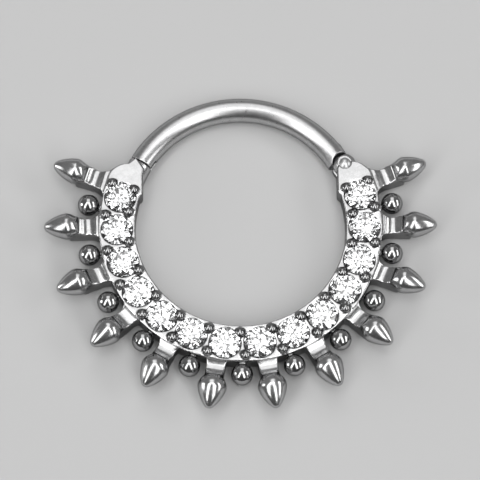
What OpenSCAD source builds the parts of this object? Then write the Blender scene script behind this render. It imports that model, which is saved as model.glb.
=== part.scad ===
/* [Band] */
// Inner radius of the band
band_in_r = 5.08; // [5.0:0.01:5.12]
// Outer radius of the band
band_out_r = 6.8; // [6.78:0.01:6.9]
// Height of the band's polished front face over its back
band_h = 1.25; // [1.2:0.01:1.4]
// Angle that the band reaches to each side of its lowest point
band_reach = 110; // [106:1:112]
// Radius of the rounded block at each end of the band
end_r = 0.95; // [0.9:0.01:0.97]
// Distance of an end block's centre from the hoop's middle line
end_x = 5.45; // [5.42:0.01:5.48]
// Height of an end block's centre over the centre of the stones' circle
end_y = 2.18; // [2.14:0.01:2.2]
// Least distance of an end block from the hoop's middle line
end_in_x = 4.72; // [4.65:0.01:4.8]

/* [Stones] */
// Number of stones in the row
stone_count = 14; // [14]
// Radius of the circle that the stones' centres lie on
stone_ring_r = 5.95; // [5.93:0.01:5.97]
// Angle from one stone to the next
stone_pitch = 15.93; // [15.9:0.01:16.1]
// Diameter of a stone
stone_d = 1.5; // [1.4:0.01:1.52]
// Width of the table as a share of the diameter
table_share = 0.56; // [0.52:0.01:0.62]
// Height of the crown as a share of the diameter
crown_share = 0.16; // [0.13:0.01:0.17]
// Depth of the pavilion as a share of the diameter
pavilion_share = 0.43; // [0.41:0.005:0.44]
// Thickness of the girdle
girdle_h = 0.04; // [0.03:0.005:0.06]
// Height of the girdle's middle over the band's front face
girdle_lift = 0.03; // [0.02:0.005:0.05]
// Gap between a stone and its seat
seat_gap = 0.035; // [0.02:0.005:0.04]

/* [Prongs] */
// Radius of a prong's dome
prong_r = 0.25; // [0.22:0.005:0.26]
// Radius of the outer row of prongs
prong_out_r = 6.5; // [6.48:0.01:6.55]
// Radius of the inner row of prongs
prong_in_r = 5.42; // [5.38:0.01:5.46]
// Angle that the outer prongs lead and the inner prongs trail the gap between stones
prong_skew = 1.2; // [0:0.1:1.5]
// Angle from the end stone's middle to the prongs beyond it
prong_end_step = 5.2; // [5:0.1:7]

/* [Balls] */
// Angle from one ball to the next
ball_pitch = 19.6; // [19.5:0.01:19.7]
// Radius of the circle that the balls lie on
ball_ring_r = 7.41; // [7.36:0.01:7.44]
// Height of that circle's centre over the centre of the stones' circle
ball_y = 0.08; // [0:0.01:0.14]
// Radius of a ball
ball_r = 0.515; // [0.48:0.005:0.53]
// Level of the balls' centres
ball_z = 0.8; // [0.7:0.01:0.9]
// Radius of the peg that carries a ball
peg_r = 0.18; // [0.15:0.01:0.22]
// Level of the pegs, low enough to be hidden from the front
peg_z = 0.5; // [0.45:0.01:0.8]
// Radius of the round notch that parts a ball from the spikes beside it
notch_r = 0.79; // [0.76:0.01:0.8]

/* [Spikes] */
// Number of spikes
spike_count = 12; // [12]
// Angle from one spike to the next
spike_pitch = 19.5; // [19.4:0.01:19.6]
// Height of the spikes' centre over the centre of the stones' circle
spike_y = 0.24; // [0.16:0.01:0.28]
// Angle that the spikes and balls are turned towards the left of the hoop's lowest point
spray_turn = 0.3; // [0:0.05:0.4]
// Distance of a spike's end from the spikes' centre
tip_reach = 9.42; // [9.4:0.005:9.44]
// Radius of a spike's rounded end
tip_r = 0.27; // [0.26:0.005:0.28]
// Largest radius of a spike's head at the ends of the row
head_end_r = 0.61; // [0.6:0.01:0.63]
// Largest radius of a spike's head at the middle of the row
head_mid_r = 0.69; // [0.66:0.01:0.7]
// Distance of a head's widest place from the spikes' centre
head_wide_r = 8.35; // [8.32:0.01:8.4]
// Level of the head's axis at its widest place
head_z = 1.2; // [1.14:0.01:1.22]
// Angle that the head's axis rises towards its end
head_tilt = 3; // [2:0.5:4]
// Radius of the slightly bulging side of the head
head_side_r = 2.2; // [1.6:0.1:4]
// Radius of the rounding in front of the head's widest place
head_round_r = 0.45; // [0.4:0.01:0.5]
// Radius of the rounding behind the head's widest place
head_back_r = 0.56; // [0.5:0.01:0.6]
// Length of the smooth taper from the head's widest place to the neck's width
head_back_l = 0.6; // [0.55:0.01:0.65]
// Half the width of the neck
neck_half_w = 0.45; // [0.44:0.005:0.48]
// Distance at which the neck ends in a blunt nose under the head
neck_out_r = 8.35; // [8.3:0.01:8.38]
// Level of the neck's underside
neck_back_z = 0.2; // [0.15:0.01:0.25]
// Distance at which the hollow along a spike's front is deepest
hollow_at_r = 7.3; // [7.25:0.01:7.35]
// Level of that hollow's deepest line
hollow_z = 1.11; // [1.05:0.01:1.14]

/* [Bar] */
// Diameter of the round wire
wire_d = 1.16; // [1.14:0.01:1.2]
// Radius of the wire's middle line
wire_ring_r = 5.57; // [5.55:0.01:5.6]
// Height of the wire's centre over the centre of the stones' circle
wire_y = 0.48; // [0.45:0.01:0.5]
// Angle, about the wire's centre, of the seam where the bar meets the stub
seam_angle = 150; // [148:0.5:152]
// Width of the seam
seam_gap = 0.05; // [0.04:0.005:0.08]
// Thickness of the catch tongue
catch_h = 0.3; // [0.26:0.01:0.34]
// Length of the catch tongue
catch_l = 0.4; // [0.3:0.01:0.5]
// Width of the catch tongue
catch_w = 0.7; // [0.6:0.01:0.8]

/* [Hinge] */
// Distance of the hinge pin from the hoop's middle line
pin_x = 5.1; // [5.08:0.01:5.12]
// Height of the hinge pin over the centre of the stones' circle
pin_y = 3.07; // [3.05:0.01:3.09]
// Radius of the hinge pin
pin_r = 0.2; // [0.18:0.005:0.2]
// Radius of the pin's domed head
pin_head_r = 0.27; // [0.25:0.005:0.28]
// Height of the dome on the pin's head
pin_head_h = 0.09; // [0.07:0.005:0.1]
// Radius of the hinge ears
ear_r = 0.56; // [0.52:0.01:0.56]
// Radius of the flat on the front ear
ear_flat_r = 0.38; // [0.34:0.01:0.42]
// Height of the front ear's face
ear_h = 1.16; // [1.16:0.01:1.18]
// Height at which the front ear's edge starts to slope in
ear_bevel_z = 0.9; // [0.88:0.01:0.95]
// Level of the underside of the bar's tongue in the hinge
tongue_low_z = 0.41; // [0.38:0.01:0.44]
// Level of the tongue's top
tongue_top_z = 0.77; // [0.74:0.01:0.78]
// Radius of the tongue's round end
tongue_r = 0.46; // [0.42:0.01:0.48]
// Running gap in the hinge
hinge_gap = 0.03; // [0.03:0.005:0.05]
// Gap between the ears' edge and the bar's shoulder
shoulder_gap = 0.04; // [0.04:0.005:0.06]

/* [Hidden] */
$fn = 64;
eps = 0.02;

wire_r = wire_d / 2;
wire_z = wire_r;
girdle_z = band_h + girdle_lift;
stone_r = stone_d / 2;
low_angle = -90;
ball_count = spike_count - 1;
pin_at = [pin_x, pin_y];
tongue_z = [tongue_low_z, tongue_top_z];

// Where the necks and pegs start, inside the band
root_r = band_out_r - 0.3;

// Turn of each stone about its own axis over the one before it
stone_turn = 11;

// Distance of the centre of a spike's rounded end from the head's widest place, along the head's axis
end_l = (tip_reach - tip_r - head_wide_r) / cos(head_tilt);

// The part's origin is under the middle of its outline, on the surface that it lies on
lowest_y = spike_y - (tip_reach - tip_r) * cos(spike_pitch / 2 - spray_turn) - tip_r;
highest_y = wire_y + wire_ring_r + wire_r;
hoop_y = -(lowest_y + highest_y) / 2;

pin_angle = atan2(pin_at[1] - wire_y, pin_at[0]);
bar_lead = 2.9;
stub_root = 164;
shoulder_r = ear_r + shoulder_gap;
slot_z = [tongue_z[0] - hinge_gap, tongue_z[1] + hinge_gap];
bore_r = pin_r + 0.025;
ear_bore_r = pin_r + 0.015;
pin_foot_z = 0.06;
head_clear = 0.01;

// The plate's small tip over the left stub, from the block to the seam
left_tip = [[-5.5, 3.05], [-5.03, 3.42], [-4.67, 2.88], [-4.74, 2.4], [-5.5, 2.2]];

function stone_name(i) = str("stone_", i < 9 ? "0" : "", i + 1);
function stone_angle(i) = low_angle + stone_pitch * (i - (stone_count - 1) / 2);
function spike_angle(i) = low_angle - spray_turn + spike_pitch * (i - (spike_count - 1) / 2);
function spike_head_r(i) = head_mid_r - (head_mid_r - head_end_r) * abs(2 * i / (spike_count - 1) - 1);
function ball_angle(i) = low_angle - spray_turn + ball_pitch * (i - (ball_count - 1) / 2);

// Places its children at an angle and a distance from the origin, turned to face outward
module polar(angle, r) {
    rotate([0, 0, angle]) translate([r, 0, 0]) children();
}

// A stretch of the round wire between two angles about the wire's own centre
module wire_arc(from, to) {
    translate([0, wire_y, wire_z]) rotate([0, 0, from])
        rotate_extrude(angle = to - from) translate([wire_ring_r, 0]) circle(wire_r);
}

module band() {
    rotate([0, 0, low_angle - band_reach]) rotate_extrude(angle = 2 * band_reach)
        translate([band_in_r, 0]) square([band_out_r - band_in_r, band_h]);
}

module end_block() {
    intersection() {
        translate([end_x, end_y, 0]) cylinder(h = band_h, r = end_r);
        translate([end_in_x, 0, -eps]) cube([2 * end_r, 2 * end_y, band_h + 2 * eps]);
    }
}

// Half the outline of a head whose largest radius is r, from the end of its taper to its tip
module head_outline(r) {
    // The arc along the side touches the rounded end and the rounding at the widest place from outside
    round_at = [r - head_round_r, 0];
    tip_at = [0, end_l];
    span = norm(tip_at - round_at);
    along = (tip_at - round_at) / span;
    to_round = head_side_r - head_round_r;
    to_tip = head_side_r - tip_r;
    run = (pow(to_round, 2) - pow(to_tip, 2) + pow(span, 2)) / (2 * span);
    side_at = round_at + along * run + [-along[1], along[0]] * sqrt(pow(to_round, 2) - pow(run, 2));
    reach = 1.05 * head_side_r;
    // The taper is an S of two arcs, which meet at taper_l behind the widest place
    taper_sum = (pow(head_back_l, 2) + pow(r - neck_half_w, 2)) / (2 * (r - neck_half_w));
    taper_l = head_back_r * head_back_l / taper_sum;
    meet_r = r - head_back_r + sqrt(pow(head_back_r, 2) - pow(taper_l, 2));
    intersection() {
        square([r, end_l + tip_r]);
        union() {
            translate(round_at) circle(head_round_r);
            translate(tip_at) circle(tip_r);
            intersection() {
                translate(side_at) circle(head_side_r);
                polygon([[0, 0], round_at, side_at + (round_at - side_at) * reach / to_round,
                    side_at + (tip_at - side_at) * reach / to_tip, tip_at]);
            }
        }
    }
    intersection() {
        translate([r - head_back_r, 0]) circle(head_back_r);
        translate([0, -taper_l]) square([r, taper_l + eps]);
    }
    difference() {
        translate([0, -head_back_l]) square([meet_r, head_back_l - taper_l + eps]);
        translate([neck_half_w + taper_sum - head_back_r, -head_back_l]) circle(taper_sum - head_back_r);
    }
}

// One spike's neck along X, wide at the band, with rounded front edges and a blunt nose under the head
module spike_neck() {
    root_half_w = 0.8;
    nose_r = 1;
    round_z = head_z - head_back_l * sin(head_tilt);
    translate([root_r, -root_half_w, neck_back_z])
        cube([hollow_at_r - root_r + 0.1, 2 * root_half_w, band_h - neck_back_z - eps]);
    intersection() {
        translate([hollow_at_r, -neck_half_w, neck_back_z])
            cube([neck_out_r - hollow_at_r, 2 * neck_half_w, round_z - neck_back_z]);
        translate([neck_out_r - nose_r, 0, 0]) cylinder(h = 2, r = nose_r);
    }
    translate([hollow_at_r, 0, round_z]) rotate([0, 90, 0])
        cylinder(h = head_wide_r - head_back_l - hollow_at_r + eps, r = neck_half_w);
}

// What is cut from a spike whose head's largest radius is r: the hollow along its front, into which the
// head's rounded back runs in an S, and the round notches that give both sides of the neck the same width
module spike_cut(r) {
    back_z = head_z + r - head_back_r;
    run = head_wide_r - hollow_at_r;
    drop = head_z + r - hollow_z;
    hollow_r = (pow(run, 2) + pow(drop, 2)) / (2 * drop) - head_back_r;
    rotate([90, 0, 0]) linear_extrude(4, center = true) {
        translate([hollow_at_r, hollow_z + hollow_r]) circle(hollow_r);
        difference() {
            translate([hollow_at_r, back_z]) square([run, 1]);
            translate([head_wide_r, back_z]) circle(head_back_r);
        }
    }
    for (side = [-1, 1]) translate([ball_ring_r * cos(ball_pitch / 2), side * (neck_half_w + notch_r), -eps])
        cylinder(h = 3, r = notch_r);
}

// One spike along X; its head is a body of revolution
module spike(r) {
    difference() {
        union() {
            translate([head_wide_r, 0, head_z]) rotate([0, 90 - head_tilt, 0])
                rotate_extrude() head_outline(r);
            spike_neck();
        }
        spike_cut(r);
    }
}

module ball() {
    translate([ball_ring_r, 0, ball_z]) sphere(ball_r);
    translate([root_r, 0, peg_z]) rotate([0, 90, 0]) cylinder(h = ball_ring_r - root_r, r = peg_r);
}

// The spikes and balls; the notches at both ends of the row stand where one more ball would be
module spray() {
    difference() {
        translate([0, spike_y, 0]) for (i = [0:spike_count - 1]) rotate([0, 0, spike_angle(i)])
            spike(spike_head_r(i));
        translate([0, ball_y, 0]) for (i = [-1:ball_count]) polar(ball_angle(i), ball_ring_r)
            translate([0, 0, -eps]) cylinder(h = 3, r = notch_r);
    }
    translate([0, ball_y, 0]) for (i = [0:ball_count - 1]) rotate([0, 0, ball_angle(i)]) ball();
}

module prongs() {
    between = [for (i = [0:stone_count - 2]) stone_angle(i) + stone_pitch / 2];
    for (a = between) {
        polar(a + prong_skew, prong_out_r) translate([0, 0, band_h]) sphere(prong_r);
        polar(a - prong_skew, prong_in_r) translate([0, 0, band_h]) sphere(prong_r);
    }
    for (side = [-1, 1]) {
        end = low_angle + side * (stone_pitch * (stone_count - 1) / 2 + prong_end_step);
        polar(end, prong_out_r) translate([0, 0, band_h]) sphere(prong_r);
        polar(end, prong_in_r) translate([0, 0, band_h]) sphere(prong_r);
    }
}

// The space cut for one stone: a cone under the girdle, a short wall and a cone over the crown
module seat() {
    hole_r = stone_r + seat_gap;
    crown_h = crown_share * stone_d;
    under = pavilion_share * stone_d + girdle_h / 2 + seat_gap;
    over = crown_h + girdle_h / 2;
    top_r = table_share * stone_r + seat_gap;
    translate([0, 0, girdle_z]) rotate_extrude() polygon([
        [0, -under], [hole_r, -girdle_h / 2], [hole_r, girdle_h / 2],
        [top_r, over], [top_r, over + 0.3], [0, over + 0.3]
    ]);
}

// The end blocks, the hinge ears, the round stub at the left and its catch tongue, before the hinge is cut
module ends() {
    left_tip_h = 0.35;
    end_block();
    mirror([1, 0, 0]) end_block();
    wire_arc(seam_angle, stub_root);
    translate([0, 0, band_h - left_tip_h]) linear_extrude(left_tip_h) polygon(left_tip);
    translate([pin_at[0], pin_at[1], 0]) {
        cylinder(h = ear_bevel_z, r = ear_r);
        translate([0, 0, ear_bevel_z]) cylinder(h = ear_h - ear_bevel_z, r1 = ear_r, r2 = ear_flat_r);
    }
    catch_z = [wire_z - catch_h / 2, wire_z + catch_h / 2];
    translate([0, wire_y, 0]) polar(seam_angle, wire_ring_r)
        translate([-catch_w / 2, -catch_l - seam_gap, catch_z[0]])
            cube([catch_w, catch_l + seam_gap + 0.2, catch_h]);
}

module hinge_cut() {
    translate([pin_at[0], pin_at[1], 0]) {
        translate([0, 0, slot_z[0]]) cylinder(h = slot_z[1] - slot_z[0], r = shoulder_r);
        translate([0, 0, -1]) cylinder(h = 3, r = ear_bore_r);
        translate([0, 0, ear_h]) cylinder(h = 1, r = pin_head_r + 0.03);
    }
}

module setting() {
    color("silver") translate([0, hoop_y, 0]) difference() {
        union() {
            band();
            ends();
            spray();
            prongs();
        }
        for (i = [0:stone_count - 1]) polar(stone_angle(i), stone_ring_r) seat();
        hinge_cut();
    }
}

module bar() {
    tongue_l = 1.1;
    slot_h = catch_h + 2 * hinge_gap;
    color("gainsboro") translate([0, hoop_y, 0]) difference() {
        union() {
            difference() {
                wire_arc(pin_angle + bar_lead, seam_angle - seam_gap / wire_ring_r * 180 / PI);
                translate([pin_at[0], pin_at[1], -1]) cylinder(h = 3, r = shoulder_r);
            }
            translate([pin_at[0], pin_at[1], tongue_z[0]]) {
                cylinder(h = tongue_z[1] - tongue_z[0], r = tongue_r);
                rotate([0, 0, pin_angle]) translate([-tongue_r, 0, 0])
                    cube([2 * tongue_r - 0.1, tongue_l, tongue_z[1] - tongue_z[0]]);
            }
        }
        translate([pin_at[0], pin_at[1], -1]) cylinder(h = 3, r = bore_r);
        translate([0, wire_y, 0]) polar(seam_angle, wire_ring_r)
            translate([-wire_d, -catch_l - seam_gap - 0.06, wire_z - slot_h / 2])
                cube([2 * wire_d, catch_l + seam_gap + 0.5, slot_h]);
    }
}

module hinge_pin() {
    dome_r = (pin_head_r * pin_head_r + pin_head_h * pin_head_h) / (2 * pin_head_h);
    color("darkgray") translate([pin_at[0], pin_at[1] + hoop_y, 0]) {
        translate([0, 0, pin_foot_z]) cylinder(h = ear_h + head_clear - pin_foot_z + eps, r = pin_r);
        translate([0, 0, ear_h + head_clear]) intersection() {
            cylinder(h = 1, r = pin_head_r + 0.1);
            translate([0, 0, pin_head_h - dome_r]) sphere(dome_r);
        }
    }
}

// A round brilliant: table, stars, kites, upper girdle facets, girdle, lower girdle facets and mains
module brilliant() {
    table_r = table_share * stone_r;
    crown_h = crown_share * stone_d;
    pavilion_h = pavilion_share * stone_d;
    half_girdle = girdle_h / 2;
    star_r = table_r + 0.5 * (stone_r - table_r);
    star_z = half_girdle + crown_h * (1 - (star_r * cos(22.5) - table_r) / (stone_r - table_r));
    half_r = 0.26 * stone_r;
    half_z = -half_girdle - pavilion_h * (1 - half_r * cos(22.5) / stone_r);
    ring = function(r, z, n, turn) [
        for (k = [0:n - 1]) let (a = 360 / n * k + turn) [r * cos(a), r * sin(a), z]
    ];
    points = concat(
        ring(table_r, half_girdle + crown_h, 8, 0),
        ring(star_r, star_z, 8, 22.5),
        ring(stone_r, half_girdle, 16, 0),
        ring(stone_r, -half_girdle, 16, 0),
        ring(half_r, half_z, 8, 22.5),
        [[0, 0, -half_girdle - pavilion_h]]
    );
    table = 0;
    star = 8;
    upper = 16;
    lower = 32;
    half = 48;
    culet = 56;
    faces = concat(
        [[for (k = [7:-1:0]) table + k]],
        [for (k = [0:7]) [table + k, table + (k + 1) % 8, star + k]],
        [for (k = [0:7]) [table + k, star + k, upper + 2 * k, star + (k + 7) % 8]],
        [for (k = [0:7]) [star + k, upper + 2 * k + 1, upper + 2 * k]],
        [for (k = [0:7]) [star + k, upper + (2 * k + 2) % 16, upper + 2 * k + 1]],
        [for (k = [0:15]) [upper + k, upper + (k + 1) % 16, lower + (k + 1) % 16, lower + k]],
        [for (k = [0:7]) [half + k, lower + 2 * k, lower + 2 * k + 1]],
        [for (k = [0:7]) [half + k, lower + 2 * k + 1, lower + (2 * k + 2) % 16]],
        [for (k = [0:7]) [culet, half + (k + 7) % 8, lower + 2 * k, half + k]]
    );
    polyhedron(points, faces);
}

module stone(i) {
    color("azure") translate([0, hoop_y, 0]) polar(stone_angle(i), stone_ring_r)
        translate([0, 0, girdle_z]) rotate([0, 0, stone_turn * i]) brilliant();
}

setting();
bar();
hinge_pin();
for (i = [0:stone_count - 1]) stone(i);
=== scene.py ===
import math

import bmesh
import bpy
import numpy as np
from mathutils import Matrix, Vector


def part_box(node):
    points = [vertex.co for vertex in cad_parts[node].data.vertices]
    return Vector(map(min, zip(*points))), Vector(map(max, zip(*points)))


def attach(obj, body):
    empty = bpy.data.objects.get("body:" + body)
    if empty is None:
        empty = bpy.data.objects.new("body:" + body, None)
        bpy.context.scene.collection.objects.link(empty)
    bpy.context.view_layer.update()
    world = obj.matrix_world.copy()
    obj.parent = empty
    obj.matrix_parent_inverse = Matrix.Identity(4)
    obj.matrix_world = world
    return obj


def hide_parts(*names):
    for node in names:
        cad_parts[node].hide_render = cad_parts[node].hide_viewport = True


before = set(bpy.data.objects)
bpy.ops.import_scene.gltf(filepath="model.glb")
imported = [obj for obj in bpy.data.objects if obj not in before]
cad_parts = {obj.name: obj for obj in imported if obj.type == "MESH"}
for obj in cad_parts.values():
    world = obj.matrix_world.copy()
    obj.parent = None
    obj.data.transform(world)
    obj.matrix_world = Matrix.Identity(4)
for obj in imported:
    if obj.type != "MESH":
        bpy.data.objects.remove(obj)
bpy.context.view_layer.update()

MM = 0.001
scene = bpy.context.scene

# Measures of the CAD source that the finer pieces repeat, in millimetres and degrees. A pair is a place
# (x, y) from the centre of the stones' circle, a Y is how far another circle's centre lies behind that one,
# and a Z is a level over the hoop's back.

# The band, the rounded blocks at its ends, and the row of stones in its front
BAND_H, BAND_IN_R, BAND_OUT_R = 1.25, 5.08, 6.8
END_AT, END_R = (5.45, 2.18), 0.95
STONES, STONE_RING_R, STONE_PITCH, GIRDLE_LIFT = 14, 5.95, 15.93, 0.03

# The prongs: their two rows, how far these lead and trail the gap between stones, and the end stones' step
PRONG_R, PRONG_OUT_R, PRONG_IN_R = 0.25, 6.5, 5.42
PRONG_SKEW, PRONG_END_STEP = 1.2, 5.2

# The balls, and the round notches that they stand in
BALL_PITCH, BALL_RING_R, BALL_Y, BALL_R, BALL_Z = 19.6, 7.41, 0.08, 0.515, 0.8
NOTCH_R = 0.79

# The row of spikes, which is turned a little to the left with the balls, then their heads and necks
SPIKES, SPIKE_PITCH, SPIKE_Y, SPRAY_TURN = 12, 19.5, 0.24, 0.3
TIP_REACH, TIP_R = 9.42, 0.27
HEAD_END_R, HEAD_MID_R, HEAD_WIDE_R, HEAD_Z, HEAD_TILT = 0.61, 0.69, 8.35, 1.2, 3.0
HEAD_SIDE_R, HEAD_ROUND_R, HEAD_BACK_R, HEAD_BACK_L = 2.2, 0.45, 0.56, 0.6
NECK_HALF_W, HOLLOW_AT_R, HOLLOW_Z = 0.45, 7.3, 1.11

# The wire, the seam of its catch, and the hinge's pin, ears and the shoulders round the ears
WIRE_R, WIRE_RING_R, WIRE_Y = 0.58, 5.57, 0.48
SEAM_ANGLE = 150.0
PIN_AT, EAR_R, SHOULDER_R = (5.1, 3.07), 0.56, 0.6

LOW_ANGLE = -90.0  # where the lowest point of the hoop lies

# The centre of the stones' circle, from the first and last stones of the frame
first_stone = sum(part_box("stone_01"), Vector()) / 2
last_stone = sum(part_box("stone_14"), Vector()) / 2
half_fan = math.radians(STONE_PITCH * (STONES - 1) / 2)
HOOP_Y = (first_stone.y + last_stone.y) / 2 / MM + STONE_RING_R * math.cos(half_fan)


# Turned forms, in millimetres

GROW = 0.004  # the round forms stand this much proud of the CAD solid's flats, so that only they show
HEAD_BACK_ARC = 36  # degrees of the rounding behind the widest place that the turned heads take in
HEAD_DIVE = 0.025  # how far they have sunk into the casting by its end
HINGE_TRIM, CATCH_TRIM = 10, 7  # degrees that the fine wire stays away from the pin and from the seam
POLE_R = 1e-6  # a smaller radius is a point on the axis

# How finely the forms are divided, round about and along each arc of their outlines
HEAD_AROUND, HEAD_BACK_STEPS, HEAD_ROUND_STEPS, HEAD_SIDE_STEPS, HEAD_TIP_STEPS = 96, 12, 8, 16, 12
BALL_AROUND, BALL_STEPS = 64, 32
PRONG_AROUND, PRONG_STEPS = 40, 24
WIRE_AROUND, WIRE_STEPS = 48, 160


def mesh_object(name, form):
    """Makes an object of a bmesh, which it frees."""
    mesh = bpy.data.meshes.new(name)
    form.to_mesh(mesh)
    form.free()
    piece = bpy.data.objects.new(name, mesh)
    scene.collection.objects.link(piece)
    return piece


def lathe(form, profile, place, steps):
    """Adds the solid that a profile of (radius, height), lowest first, makes about Z."""
    rings = []
    for radius, height in profile:
        if radius < POLE_R:
            rings.append([form.verts.new(place @ Vector((0, 0, height)))])
            continue
        rings.append([
            form.verts.new(place @ Vector((radius * math.cos(angle), radius * math.sin(angle), height)))
            for angle in (2 * math.pi * k / steps for k in range(steps))
        ])
    for low, high in zip(rings, rings[1:]):
        for k in range(steps):
            corners = ((low, k), (low, k + 1), (high, k + 1), (high, k))
            face = list(dict.fromkeys(ring[at % len(ring)] for ring, at in corners))
            if len(face) > 2:
                form.faces.new(face)


def arc(centre, radius, start, end, count):
    """Points (radius, height) along an arc; angles in degrees, 0 pointing outward and 90 up."""
    points = []
    for k in range(count + 1):
        angle = math.radians(start + (end - start) * k / count)
        points.append((max(0.0, centre[0] + radius * math.cos(angle)), centre[1] + radius * math.sin(angle)))
    return points


def turn_z(degrees):
    return Matrix.Rotation(math.radians(degrees), 4, "Z")


def on_ring(centre_y, angle, radius, level):
    """The place on a level circle about (0, centre_y), with X pointing outward there."""
    return Matrix.Translation((0, centre_y, 0)) @ turn_z(angle) @ Matrix.Translation((radius, 0, level))


def spike_angle(i):
    return LOW_ANGLE - SPRAY_TURN + SPIKE_PITCH * (i - (SPIKES - 1) / 2)


def ball_angle(i):
    return LOW_ANGLE - SPRAY_TURN + BALL_PITCH * (i - (SPIKES - 2) / 2)


def head_radius(i):
    """The largest radius of a spike's head, which shrinks from the middle of the row to its ends."""
    return HEAD_MID_R - (HEAD_MID_R - HEAD_END_R) * abs(2 * i / (SPIKES - 1) - 1)


def head_profile(widest):
    """Half a head's outline, from the rounding of its back to its tip: arcs that touch, as in the CAD."""
    end_l = (TIP_REACH - TIP_R - HEAD_WIDE_R) / math.cos(math.radians(HEAD_TILT))
    round_at = Vector((widest - HEAD_ROUND_R, 0))
    tip_at = Vector((0, end_l))
    span = (tip_at - round_at).length
    along = (tip_at - round_at) / span
    to_round = HEAD_SIDE_R - HEAD_ROUND_R
    to_tip = HEAD_SIDE_R - TIP_R
    run = (to_round ** 2 - to_tip ** 2 + span ** 2) / (2 * span)
    side_at = round_at + along * run + Vector((-along.y, along.x)) * math.sqrt(to_round ** 2 - run ** 2)
    low = math.degrees(math.atan2(*reversed(round_at - side_at)))
    high = math.degrees(math.atan2(*reversed(tip_at - side_at)))
    back = [
        (radius - HEAD_DIVE * (1 - k / HEAD_BACK_STEPS), height) for k, (radius, height) in enumerate(
            arc((widest - HEAD_BACK_R, 0), HEAD_BACK_R + GROW, -HEAD_BACK_ARC, 0, HEAD_BACK_STEPS)
        )
    ]
    front = arc(round_at, HEAD_ROUND_R + GROW, 0, low, HEAD_ROUND_STEPS)
    side = arc(side_at, HEAD_SIDE_R + GROW, low, high, HEAD_SIDE_STEPS)
    tip = arc(tip_at, TIP_R + GROW, high, 90, HEAD_TIP_STEPS)
    return [(0.0, back[0][1])] + back + front[1:] + side[1:] + tip[1:]


def fine_heads():
    """The spike heads, turned, without the taper to their necks."""
    form = bmesh.new()
    lean = Matrix.Rotation(math.radians(90 - HEAD_TILT), 4, "Y")
    for i in range(SPIKES):
        place = on_ring(HOOP_Y + SPIKE_Y, spike_angle(i), HEAD_WIDE_R, HEAD_Z) @ lean
        lathe(form, head_profile(head_radius(i)), place, HEAD_AROUND)
    return form


def fine_balls():
    form = bmesh.new()
    outline = arc((0, 0), BALL_R + GROW, -90, 90, BALL_STEPS)
    for i in range(SPIKES - 1):
        lathe(form, outline, on_ring(HOOP_Y + BALL_Y, ball_angle(i), BALL_RING_R, BALL_Z), BALL_AROUND)
    return form


def fine_prongs():
    """The domes over the stones' edges: a pair in each gap and a pair at each end of the row."""
    spots = []
    for i in range(STONES - 1):
        angle = LOW_ANGLE + STONE_PITCH * (i + 0.5 - (STONES - 1) / 2)
        spots += [(angle + PRONG_SKEW, PRONG_OUT_R), (angle - PRONG_SKEW, PRONG_IN_R)]
    for side in (-1, 1):
        angle = LOW_ANGLE + side * (STONE_PITCH * (STONES - 1) / 2 + PRONG_END_STEP)
        spots += [(angle, PRONG_OUT_R), (angle, PRONG_IN_R)]
    form = bmesh.new()
    outline = arc((0, 0), PRONG_R + GROW, -90, 90, PRONG_STEPS)
    for angle, radius in spots:
        lathe(form, outline, on_ring(HOOP_Y, angle, radius, BAND_H), PRONG_AROUND)
    return form


def fine_wire():
    """The round wire again, finely divided, without the ends that the hinge and the catch are cut into."""
    pin_angle = math.degrees(math.atan2(PIN_AT[1] - WIRE_Y, PIN_AT[0]))
    start, end = pin_angle + HINGE_TRIM, SEAM_ANGLE - CATCH_TRIM
    middle = Vector((0, HOOP_Y + WIRE_Y, 0))
    radius = WIRE_R + GROW
    form = bmesh.new()
    rings = []
    for i in range(WIRE_STEPS + 1):
        turn = turn_z(start + (end - start) * i / WIRE_STEPS)
        ring = []
        for k in range(WIRE_AROUND):
            angle = 2 * math.pi * k / WIRE_AROUND
            point = Vector((WIRE_RING_R + radius * math.cos(angle), 0, WIRE_R + radius * math.sin(angle)))
            ring.append(form.verts.new(middle + turn @ point))
        rings.append(ring)
    for low, high in zip(rings, rings[1:]):
        for k in range(WIRE_AROUND):
            after = (k + 1) % WIRE_AROUND
            form.faces.new((low[k], low[after], high[after], high[k]))
    form.faces.new(reversed(rings[0]))
    form.faces.new(rings[-1])
    bmesh.ops.recalc_face_normals(form, faces=form.faces)
    return form


def turned_piece(name, form):
    """A clean turned surface over the casting, from a bmesh in millimetres."""
    piece = mesh_object(name, form)
    piece.data.transform(Matrix.Scale(MM, 4))
    piece.data.shade_smooth()
    return piece


# Round walls, in millimetres: the CAD node's mesh has flat facets on them, and these functions move the
# remeshed points there onto the true arcs

SNAP = 0.016  # the points nearer to an arc than this are moved
FACING = 0.9  # where the cosine of the angle between their normal and the arc's is over this
LEAST_L = 1e-9  # stands in for a length of zero in a division

# The columns of a point that each view shows, and those of a point (radius, height) on an outline
PLAN, FROM_SIDE, FROM_END = [0, 1], [0, 2], [1, 2]
OUTLINE = [0, 1]

# A spike's points start this deep in the band and lie within this distance of its middle line
ROOT_L, SPIKE_HALF_W = 0.2, 1

# A neck blends into its head between these distances from the spikes' centre and over this level
BLEND_FROM, BLEND_TO = 7.6, 8.2
BLEND_Z = 0.45


def onto_arc(points, normals, view, centre, radius, hollow=False, within=None):
    """Moves the points near an arc in one view, whose normals also fit it, onto the arc."""
    offset = points[:, view] - np.array(centre)
    length = np.maximum(np.hypot(offset[:, 0], offset[:, 1]), LEAST_L)
    outward = offset / length[:, None]
    side = -1 if hollow else 1
    near = (abs(length - radius) < SNAP) & (side * (outward * normals[:, view]).sum(axis=1) > FACING)
    if within is not None:
        near &= within
    points[np.ix_(near, view)] = np.array(centre) + outward[near] * radius


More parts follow.
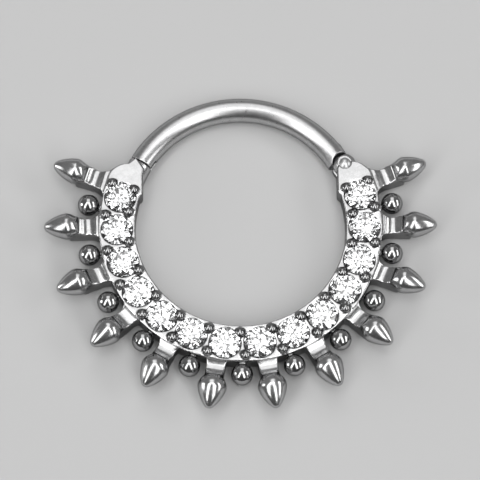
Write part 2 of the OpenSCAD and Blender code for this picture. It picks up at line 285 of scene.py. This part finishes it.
def round_walls(points, normals):
    """The upright round walls of the setting."""
    onto_arc(points, normals, PLAN, (0, HOOP_Y), BAND_OUT_R)
    onto_arc(points, normals, PLAN, (0, HOOP_Y), BAND_IN_R, hollow=True)
    for side in (-1, 1):
        onto_arc(points, normals, PLAN, (side * END_AT[0], HOOP_Y + END_AT[1]), END_R)
    onto_arc(points, normals, PLAN, (PIN_AT[0], HOOP_Y + PIN_AT[1]), EAR_R)
    # There is a notch round each ball and one beyond each end of the row
    for i in range(-1, SPIKES):
        angle = math.radians(ball_angle(i))
        notch_at = (BALL_RING_R * math.cos(angle), HOOP_Y + BALL_Y + BALL_RING_R * math.sin(angle))
        onto_arc(points, normals, PLAN, notch_at, NOTCH_R, hollow=True)


def round_wire(points, normals):
    """The round wire, whose middle line is a circle."""
    middle = np.array((0, HOOP_Y + WIRE_Y))
    flat = points[:, :2] - middle
    reach = np.hypot(flat[:, 0], flat[:, 1])
    outward = flat / reach[:, None]
    section = np.column_stack((reach, points[:, 2]))
    facing = np.column_stack(((normals[:, :2] * outward).sum(axis=1), normals[:, 2]))
    onto_arc(section, facing, OUTLINE, (WIRE_RING_R, WIRE_R), WIRE_R)
    points[:, :2] = outward * section[:, :1] + middle
    points[:, 2] = section[:, 1]


def round_neck(points, normals, widest):
    """The neck of a spike that lies along X: its hollow front, its notched sides and its round edge."""
    back_z = HEAD_Z + widest - HEAD_BACK_R
    run, drop = HEAD_WIDE_R - HOLLOW_AT_R, HEAD_Z + widest - HOLLOW_Z
    hollow_r = (run ** 2 + drop ** 2) / (2 * drop) - HEAD_BACK_R
    join_x = HOLLOW_AT_R + run * hollow_r / (hollow_r + HEAD_BACK_R)
    before, beyond = points[:, 0] < join_x, points[:, 0] > join_x
    onto_arc(points, normals, FROM_SIDE, (HOLLOW_AT_R, HOLLOW_Z + hollow_r), hollow_r, True, before)
    onto_arc(points, normals, FROM_SIDE, (HEAD_WIDE_R, back_z), HEAD_BACK_R, False, beyond)

    notch_x = BALL_RING_R * math.cos(math.radians(BALL_PITCH / 2))
    for side in (-1, 1):
        onto_arc(points, normals, PLAN, (notch_x, side * (NECK_HALF_W + NOTCH_R)), NOTCH_R, hollow=True)

    round_z = HEAD_Z - HEAD_BACK_L * math.sin(math.radians(HEAD_TILT))
    straight = points[:, 0] < HEAD_WIDE_R - HEAD_BACK_L
    onto_arc(points, normals, FROM_END, (0, round_z), NECK_HALF_W, False, straight)


def round_head_back(points, normals, widest):
    """The back of the head of a spike that lies along X: arcs turned about the head's tilted axis."""
    tilt = math.radians(HEAD_TILT)
    axis = np.array((math.cos(tilt), 0, math.sin(tilt)))
    wide_at = np.array((HEAD_WIDE_R, 0, HEAD_Z))
    head = points - wide_at
    level = head @ axis
    spoke = head - level[:, None] * axis
    length = np.maximum(np.linalg.norm(spoke, axis=1), LEAST_L)
    spoke /= length[:, None]
    outline = np.column_stack((length, level))
    facing = np.column_stack(((normals * spoke).sum(axis=1), normals @ axis))
    taper_sum = (HEAD_BACK_L ** 2 + (widest - NECK_HALF_W) ** 2) / (2 * (widest - NECK_HALF_W))
    taper_l = HEAD_BACK_R * HEAD_BACK_L / taper_sum
    back = (level < 0) & (level > -taper_l)
    taper = (level < -taper_l) & (level > -HEAD_BACK_L)
    onto_arc(outline, facing, OUTLINE, (widest - HEAD_BACK_R, 0), HEAD_BACK_R, False, back)
    taper_at = (NECK_HALF_W + taper_sum - HEAD_BACK_R, -HEAD_BACK_L)
    onto_arc(outline, facing, OUTLINE, taper_at, taper_sum - HEAD_BACK_R, True, taper)
    points[:] = spoke * outline[:, :1] + outline[:, 1:] * axis + wide_at


def round_spike(points, normals, i):
    """One spike's neck and the back of its head, by way of points turned to have the spike along X."""
    angle = math.radians(spike_angle(i))
    cosine, sine = math.cos(angle), math.sin(angle)
    turn = np.array(((cosine, -sine, 0), (sine, cosine, 0), (0, 0, 1)))
    middle = np.array((0, HOOP_Y + SPIKE_Y, 0))
    turned = (points - middle) @ turn
    mine = (turned[:, 0] > BAND_OUT_R - ROOT_L) & (abs(turned[:, 1]) < SPIKE_HALF_W)
    turned, facing = turned[mine], normals[mine] @ turn
    round_neck(turned, facing, head_radius(i))
    round_head_back(turned, facing, head_radius(i))
    points[mine] = turned @ turn.T + middle


def true_setting(points, normals):
    """Makes the setting's round walls true, and gives the indices of the points that are to be blended."""
    round_walls(points, normals)
    round_wire(points, normals)
    for i in range(SPIKES):
        round_spike(points, normals, i)
    reach = np.hypot(points[:, 0], points[:, 1] - HOOP_Y - SPIKE_Y)
    return np.flatnonzero((reach > BLEND_FROM) & (reach < BLEND_TO) & (points[:, 2] > BLEND_Z))


def true_bar(points, normals):
    """Makes the bar's round walls true; nothing is blended."""
    round_wire(points, normals)
    onto_arc(points, normals, PLAN, (PIN_AT[0], HOOP_Y + PIN_AT[1]), SHOULDER_R, hollow=True)
    return np.empty(0, int)


# Castings, grown out of the CAD nodes in millimetres

JOIN_WITHIN = 1e-5  # the points that two faces of a CAD node share lie nearer together than this
SMOOTHING = 0.5  # the share of the way to its neighbours' middle that a round of smoothing moves a point
BLEND_ROUNDS = 40
NORMAL_WEIGHT = 60  # over 50 it lets large faces lead the shading


def add_cad_mesh(form, node):
    """Adds a CAD node's mesh, in millimetres, with its shared points joined."""
    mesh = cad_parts[node].data.copy()
    mesh.transform(Matrix.Scale(1 / MM, 4))
    form.from_mesh(mesh)
    bpy.data.meshes.remove(mesh)
    bmesh.ops.remove_doubles(form, verts=form.verts, dist=JOIN_WITHIN)


def modify(piece, kind, **values):
    modifier = piece.modifiers.new(kind.lower(), kind)
    for key, value in values.items():
        setattr(modifier, key, value)


def settle(piece):
    """Applies a piece's modifiers to its mesh."""
    depsgraph = bpy.context.evaluated_depsgraph_get()
    mesh = bpy.data.meshes.new_from_object(piece.evaluated_get(depsgraph))
    piece.modifiers.clear()
    piece.data = mesh


def read_vectors(items, key):
    """A mesh's points or normals as an array (n, 3)."""
    values = np.empty(3 * len(items), np.float32)
    items.foreach_get(key, values)
    return values.astype(float).reshape(-1, 3)


def cast_piece(name, node, finer, true_form, voxel, rounds, most):
    """Grows a soft edged casting out of a CAD node and finer forms, in at most that many triangles."""
    form = bmesh.new()
    add_cad_mesh(form, node)
    if finer:
        mesh = bpy.data.meshes.new(name + "_fine")
        finer.to_mesh(mesh)
        finer.free()
        form.from_mesh(mesh)
        bpy.data.meshes.remove(mesh)
    piece = mesh_object(name, form)
    modify(piece, "REMESH", mode="VOXEL", voxel_size=voxel, adaptivity=0.0)
    settle(piece)

    points = read_vectors(piece.data.vertices, "co")
    blended = true_form(points, read_vectors(piece.data.vertex_normals, "vector"))
    piece.data.vertices.foreach_set("co", points.astype(np.float32).ravel())
    piece.data.update()
    if len(blended):
        piece.vertex_groups.new(name="blend").add(blended.tolist(), 1.0, "REPLACE")
        modify(piece, "SMOOTH", factor=SMOOTHING, iterations=BLEND_ROUNDS, vertex_group="blend")

    modify(piece, "SMOOTH", factor=SMOOTHING, iterations=rounds)
    triangles = 2 * len(piece.data.polygons)
    modify(piece, "DECIMATE", ratio=min(1.0, most / triangles))
    settle(piece)
    piece.data.transform(Matrix.Scale(MM, 4))
    piece.data.name = name
    piece.data.shade_smooth()
    modify(piece, "WEIGHTED_NORMAL", weight=NORMAL_WEIGHT)
    settle(piece)
    kept = sum(len(face.vertices) - 2 for face in piece.data.polygons)
    print(name, "has", kept, "triangles, of", triangles)
    return piece


# Materials: the scale of a noise is in waves to a metre

NOISE_LOW, NOISE_HIGH = 0.3, 0.7  # a noise lies nearly all between these
BUMP_DEPTH = 0.02 * MM  # the height of a bump whose strength is 1

# The steels: how much of their reflection is left where they are seen at a slant, the clouds and the shares
# of the grey that these lie between, the waves of the polish, and the grain with its share in their height
EDGE_TINT = (0.25, 0.25, 0.25, 1)
CLOUD_SCALE, CLOUD_DETAIL = 3600, 4.0
CLOUD_DARK, CLOUD_LIGHT = (0.88, 0.88, 0.885), (1, 1, 1.005)
WAVE_SCALE, WAVE_DETAIL = 1600, 2.0
GRAIN_DETAIL, GRAIN_SHARE = 4.0, 0.12

# The stones: their refraction, the veil in them and the ripple on them
STONE_IOR = 2.15
STONE_DARK, STONE_LIGHT = (0.66, 0.665, 0.67), (0.78, 0.785, 0.79)
VEIL_SCALE, VEIL_DETAIL, VEIL_ROUGHNESS = 1200, 3.0, 0.02
RIPPLE_SCALE, RIPPLE_DETAIL, RIPPLE_BUMP = 6000, 2.0, 0.16


def new_material(name):
    """A new material, and its surface node."""
    material = bpy.data.materials.new(name)
    material.use_nodes = True
    return material, material.node_tree.nodes["Principled BSDF"]


def feed(node, inputs):
    """Gives a node's inputs, by name or number, their values or the outputs of other nodes."""
    for key, source in inputs.items():
        if isinstance(source, bpy.types.NodeSocket):
            node.id_data.links.new(source, node.inputs[key])
        else:
            node.inputs[key].default_value = source


def add(tree, kind, inputs):
    node = tree.nodes.new(kind)
    feed(node, inputs)
    return node


def noise(tree, coord, scale, detail):
    inputs = {"Vector": coord, "Scale": scale, "Detail": detail}
    return add(tree, "ShaderNodeTexNoise", inputs).outputs["Fac"]


def spread(tree, value, low, high, start=NOISE_LOW, end=NOISE_HIGH):
    """Turns a value's stretch from start to end into the one from low to high."""
    inputs = {"Value": value, "From Min": start, "From Max": end, "To Min": low, "To Max": high}
    return add(tree, "ShaderNodeMapRange", inputs).outputs["Result"]


def colour_between(tree, value, dark, light, start=0.0, end=1.0):
    """Turns a value's stretch from start to end into the colours from dark to light."""
    node = add(tree, "ShaderNodeValToRGB", {"Fac": value})
    for stop, colour, position in zip(node.color_ramp.elements, (dark, light), (start, end)):
        stop.color = (*colour, 1)
        stop.position = position
    return node.outputs["Color"]


def bumped(tree, height, strength):
    inputs = {"Strength": strength, "Distance": BUMP_DEPTH, "Height": height}
    return add(tree, "ShaderNodeBump", inputs).outputs["Normal"]


def steel(name, grey, rough, swing, bump, grain):
    """Polished steel: a faint cloudiness, soft waves of hand polishing and a fine grain."""
    material, surface = new_material(name)
    tree = material.node_tree
    coord = tree.nodes.new("ShaderNodeTexCoord").outputs["Object"]
    cloud = noise(tree, coord, CLOUD_SCALE, CLOUD_DETAIL)
    dark, light = ([grey * share for share in shares] for shares in (CLOUD_DARK, CLOUD_LIGHT))
    colour = colour_between(tree, cloud, dark, light, NOISE_LOW, NOISE_HIGH)
    grains = noise(tree, coord, grain, GRAIN_DETAIL)
    roughness = spread(tree, grains, rough - swing, rough + swing)
    wave = noise(tree, coord, WAVE_SCALE, WAVE_DETAIL)
    height = tree.nodes.new("ShaderNodeMath")
    height.operation = "MULTIPLY_ADD"
    feed(height, {0: grains, 1: GRAIN_SHARE, 2: wave})
    normal = bumped(tree, height.outputs["Value"], bump)
    feed(surface, {"Metallic": 1.0, "Specular Tint": EDGE_TINT})
    feed(surface, {"Base Color": colour, "Roughness": roughness, "Normal": normal})
    return material


def clear_stone():
    """Clear zirconia: a faint inner veil, and a ripple too fine to see that breaks up its reflections."""
    material, surface = new_material("clear_stone_look")
    tree = material.node_tree
    coord = tree.nodes.new("ShaderNodeTexCoord").outputs["Object"]
    veil = noise(tree, coord, VEIL_SCALE, VEIL_DETAIL)
    colour = colour_between(tree, veil, STONE_DARK, STONE_LIGHT)
    roughness = spread(tree, veil, 0.0, VEIL_ROUGHNESS)
    normal = bumped(tree, noise(tree, coord, RIPPLE_SCALE, RIPPLE_DETAIL), RIPPLE_BUMP)
    feed(surface, {"Transmission Weight": 1.0, "IOR": STONE_IOR})
    feed(surface, {"Base Color": colour, "Roughness": roughness, "Normal": normal})
    return material


def dress(piece, look):
    piece.data.materials.clear()
    piece.data.materials.append(look)


# The setting, the bar, the pin and the stones

cast_steel = steel("cast_steel_look", grey=0.55, rough=0.22, swing=0.04, bump=0.08, grain=9000)
bright_steel = steel("bright_steel_look", grey=0.44, rough=0.13, swing=0.02, bump=0.04, grain=9000)
wire_steel = steel("wire_steel_look", grey=0.56, rough=0.3, swing=0.03, bump=0.02, grain=7000)
# The prongs' steel is a darker copy of the cast steel: painted shade, standing in for the dark surroundings
# that the prongs reflect
prong_steel_painted_dark = steel("dark_painted_prong_look", grey=0.32, rough=0.12, swing=0.02, bump=0.04, grain=9000)
pin_steel = steel("pin_steel_look", grey=0.6, rough=0.36, swing=0.03, bump=0.05, grain=8000)
stone_look = clear_stone()

cast = cast_piece("cast_setting", "setting", None, true_setting, voxel=0.03, rounds=8, most=190000)
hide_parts("setting")
heads = turned_piece("spike_heads", fine_heads())
beads = turned_piece("beads", fine_balls())
prongs = turned_piece("prongs", fine_prongs())
for piece, look in ((cast, cast_steel), (heads, cast_steel), (beads, bright_steel), (prongs, prong_steel_painted_dark)):
    dress(piece, look)
    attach(piece, "setting")

bar = cast_piece("wire_bar", "bar", fine_wire(), true_bar, voxel=0.025, rounds=6, most=60000)
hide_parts("bar")
dress(bar, wire_steel)
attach(bar, "bar")

dress(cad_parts["hinge_pin"], pin_steel)
for i in range(1, STONES + 1):
    dress(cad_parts[f"stone_{i:02d}"], stone_look)


# The floor, in metres

FLOOR_HALF_W, FLOOR_SQUARES = 0.4, 8
FLOOR_DROP = 0.02 * MM  # keeps it clear of the hoop's flat back
FLOOR_GREY, FLOOR_ROUGHNESS = 0.52, 0.9

floor_form = bmesh.new()
bmesh.ops.create_grid(floor_form, x_segments=FLOOR_SQUARES, y_segments=FLOOR_SQUARES, size=FLOOR_HALF_W)
floor = mesh_object("floor", floor_form)
floor.location.z = -FLOOR_DROP
floor_look, floor_surface = new_material("floor_look")
feed(floor_surface, {"Base Color": (FLOOR_GREY, FLOOR_GREY, FLOOR_GREY, 1), "Roughness": FLOOR_ROUGHNESS})
dress(floor, floor_look)


# The photograph's camera: its tilt from straight above, its turn about the vertical and its roll, in degrees

CAMERA_TILT, CAMERA_TURN, CAMERA_ROLL = 17.9, -2.9, -2.17
CAMERA_DISTANCE = 100 * MM
CLIP_FROM, CLIP_TO = 0.001, 10
SENSOR_W = 36  # in millimetres, as Blender counts it
PHOTO_SIZE = 480
PIXELS_PER_MM = 20.843
CENTRE_PIXEL = (240.74, 223.286)  # where the photograph shows the centre of the stones' circle

tilt, turn, roll = (math.radians(angle) for angle in (CAMERA_TILT, CAMERA_TURN, CAMERA_ROLL))
back = Vector((math.sin(tilt) * math.sin(turn), -math.sin(tilt) * math.cos(turn), math.cos(tilt)))
level_up = Vector((-math.cos(tilt) * math.sin(turn), math.cos(tilt) * math.cos(turn), math.sin(tilt)))
level_right = level_up.cross(back)
right = level_right * math.cos(roll) - level_up * math.sin(roll)
up = level_right * math.sin(roll) + level_up * math.cos(roll)
centre = Vector((0, HOOP_Y, BAND_H + GIRDLE_LIFT)) * MM

camera_data = bpy.data.cameras.new("camera")
camera_data.sensor_width = SENSOR_W
camera_data.lens = SENSOR_W * (CAMERA_DISTANCE / MM) * PIXELS_PER_MM / PHOTO_SIZE
camera_data.shift_x = (PHOTO_SIZE / 2 - CENTRE_PIXEL[0]) / PHOTO_SIZE
camera_data.shift_y = (CENTRE_PIXEL[1] - PHOTO_SIZE / 2) / PHOTO_SIZE
camera_data.clip_start = CLIP_FROM
camera_data.clip_end = CLIP_TO
camera = bpy.data.objects.new("camera", camera_data)
scene.collection.objects.link(camera)
camera_place = Matrix((right, up, back)).transposed().to_4x4()
camera_place.translation = centre + back * CAMERA_DISTANCE
camera.matrix_world = camera_place
scene.camera = camera


# The light, in metres and degrees

PANEL_DISTANCE = 0.5
SKY_NEAR, SKY_FAR = 0.09, 0.26  # the studio's grey in front of the hoop and behind it
SKY_FROM, SKY_TO = -0.7, 0.9  # it goes from the one to the other between these, a direction's Y


def direction(side, rise):
    """The direction that lies by these angles to the right of and over the camera's axis."""
    side, rise = math.radians(side), math.radians(rise)
    return right * math.sin(side) + (back * math.cos(rise) + up * math.sin(rise)) * math.cos(side)


def soft_panel(name, low, high, width, strength):
    """A long soft box from one direction (side, rise) to another, as wide as that angle."""
    low, high = direction(*low), direction(*high)
    towards = (low + high).normalized()
    across = (high - low).cross(towards).normalized()
    along = towards.cross(across)
    light = bpy.data.lights.new(name, "AREA")
    light.shape = "RECTANGLE"
    light.size = 2 * PANEL_DISTANCE * math.tan(math.radians(width / 2))
    light.size_y = 2 * PANEL_DISTANCE * math.tan(low.angle(high) / 2)
    light.energy = strength * light.size * light.size_y * math.pi
    panel = bpy.data.objects.new(name, light)
    scene.collection.objects.link(panel)
    panel.matrix_world = Matrix((across, along, towards)).transposed().to_4x4()
    panel.location = centre + towards * PANEL_DISTANCE


# Two panels lean together under a third, and one stands on each side
soft_panel("middle_left_panel", low=(-37, -36), high=(-9, 29), width=17, strength=3.8)
soft_panel("middle_right_panel", low=(25, -36), high=(6, 29), width=17, strength=3.8)
soft_panel("top_panel", low=(0, 27), high=(0, 72), width=28, strength=1.4)
soft_panel("left_panel", low=(-76, -16), high=(-68, 46), width=24, strength=4.0)
soft_panel("right_panel", low=(58, -34), high=(46, 50), width=14, strength=4.0)

world = bpy.data.worlds.new("studio")
scene.world = world
world.use_nodes = True
sky = world.node_tree
sky_at = sky.nodes.new("ShaderNodeTexCoord").outputs["Generated"]
sky_y = add(sky, "ShaderNodeSeparateXYZ", {"Vector": sky_at}).outputs["Y"]
feed(sky.nodes["Background"], {"Color": spread(sky, sky_y, SKY_NEAR, SKY_FAR, SKY_FROM, SKY_TO)})
scene.view_settings.view_transform = "Standard"
